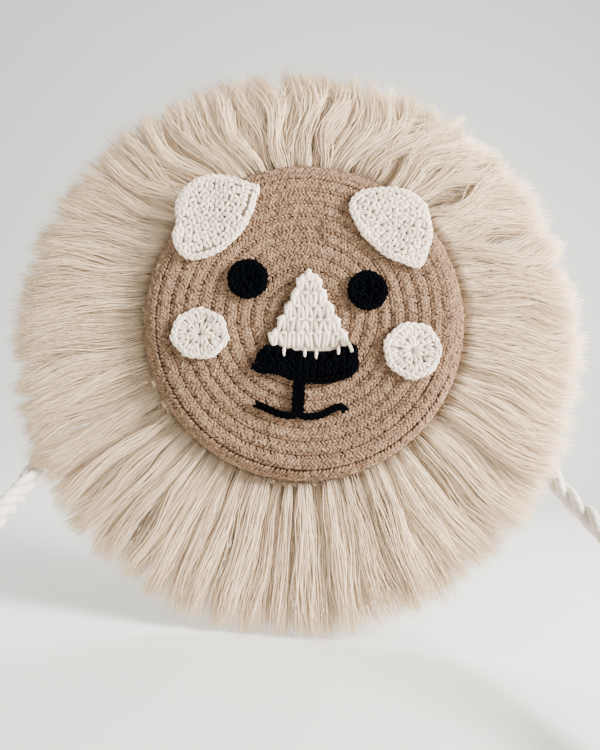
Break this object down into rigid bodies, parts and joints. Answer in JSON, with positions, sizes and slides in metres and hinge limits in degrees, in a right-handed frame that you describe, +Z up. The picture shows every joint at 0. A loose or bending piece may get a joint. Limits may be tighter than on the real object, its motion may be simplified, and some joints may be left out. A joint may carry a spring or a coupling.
{
  "type": "shoulder bag",
  "caption": "Round zip-top shoulder bag of coiled jute cord with a crochet lion face, a cotton fringe mane and a rope strap.",
  "frame": {"origin": "centre of the flat outer face of the back panel", "axes": "+Z up, the face looks along -Y, +X to the right of the face, so +Y is the back panel's outward normal"},
  "size_m": [0.3617, 0.2239, 0.3567],
  "materials": {
    "jute": "fibrous braided cord, sewn in a coil",
    "jute_web": "woven jute webbing",
    "jute_thread": "twisted thread",
    "lining": "plain cotton calico",
    "zip_tape": "woven tape",
    "zip_teeth": "moulded, satin",
    "zip_metal": "antique brass, satin",
    "eyelet_brass": "rolled brass, satin",
    "strap_cotton": "three-strand twisted cotton",
    "mane_cotton": "combed cotton fringe",
    "white_crochet": "cotton crochet",
    "black_crochet": "cotton crochet"
  },
  "bodies": {
    "back_half": {"back_shell": "jute", "back_lining": "lining", "bottom_gusset": "jute_web", "zip_tape_back": "zip_tape", "zip_teeth_back": "zip_teeth", "zip_closed_stop": "zip_metal", "zip_open_stop": "zip_metal", "left_eyelet": "eyelet_brass", "right_eyelet": "eyelet_brass", "left_strap_knot": "strap_cotton", "right_strap_knot": "strap_cotton", "strap_rope": "strap_cotton"},
    "front_half": {"front_shell": "jute", "front_lining": "lining", "zip_tape_front": "zip_tape", "zip_teeth_front": "zip_teeth", "mane_header": "mane_cotton", "mane_tuft_01": "mane_cotton", "mane_tuft_02": "mane_cotton", "mane_tuft_03": "mane_cotton", "mane_tuft_04": "mane_cotton", "mane_tuft_05": "mane_cotton", "mane_tuft_06": "mane_cotton", "mane_tuft_07": "mane_cotton", "mane_tuft_08": "mane_cotton", "mane_tuft_09": "mane_cotton", "mane_tuft_10": "mane_cotton", "mane_tuft_11": "mane_cotton", "mane_tuft_12": "mane_cotton", "mane_tuft_13": "mane_cotton", "mane_tuft_14": "mane_cotton", "mane_tuft_15": "mane_cotton", "mane_tuft_16": "mane_cotton", "mane_tuft_17": "mane_cotton", "mane_tuft_18": "mane_cotton", "mane_tuft_19": "mane_cotton", "mane_tuft_20": "mane_cotton", "mane_tuft_21": "mane_cotton", "mane_tuft_22": "mane_cotton", "mane_tuft_23": "mane_cotton", "mane_tuft_24": "mane_cotton", "mane_tuft_25": "mane_cotton", "mane_tuft_26": "mane_cotton", "left_ear": "white_crochet", "right_ear": "white_crochet", "left_eye": "black_crochet", "right_eye": "black_crochet", "left_cheek": "white_crochet", "right_cheek": "white_crochet", "nose_bridge": "white_crochet", "nose_tip": "black_crochet", "nose_yarn_tail": "white_crochet", "mouth_left_cord": "black_crochet", "mouth_right_cord": "black_crochet", "forehead_stitch": "jute_thread"},
    "slider": {"zip_slider": "zip_metal"},
    "pull": {"zip_pull": "zip_metal"}
  },
  "joints": [
    {"name": "mouth_opening", "type": "hinge", "parent": "back_half", "child": "front_half", "pos_m": [0, -0.039, -0.094], "axis": [1, 0, 0], "range_deg": [0, 18]},
    {"name": "zip_travel", "type": "hinge", "parent": "back_half", "child": "slider", "pos_m": [0, -0.039, 0], "axis": [0, 1, 0], "range_deg": [0, 225]},
    {"name": "pull_swing", "type": "hinge", "parent": "slider", "child": "pull", "pos_m": [-0.09159, -0.039, -0.03888], "axis": [0, 1, 0], "range_deg": [-15, 140]}
  ],
  "couplings": [
    {"joint": "zip_travel", "follows": "mouth_opening", "ratio": 12.5}
  ]
}
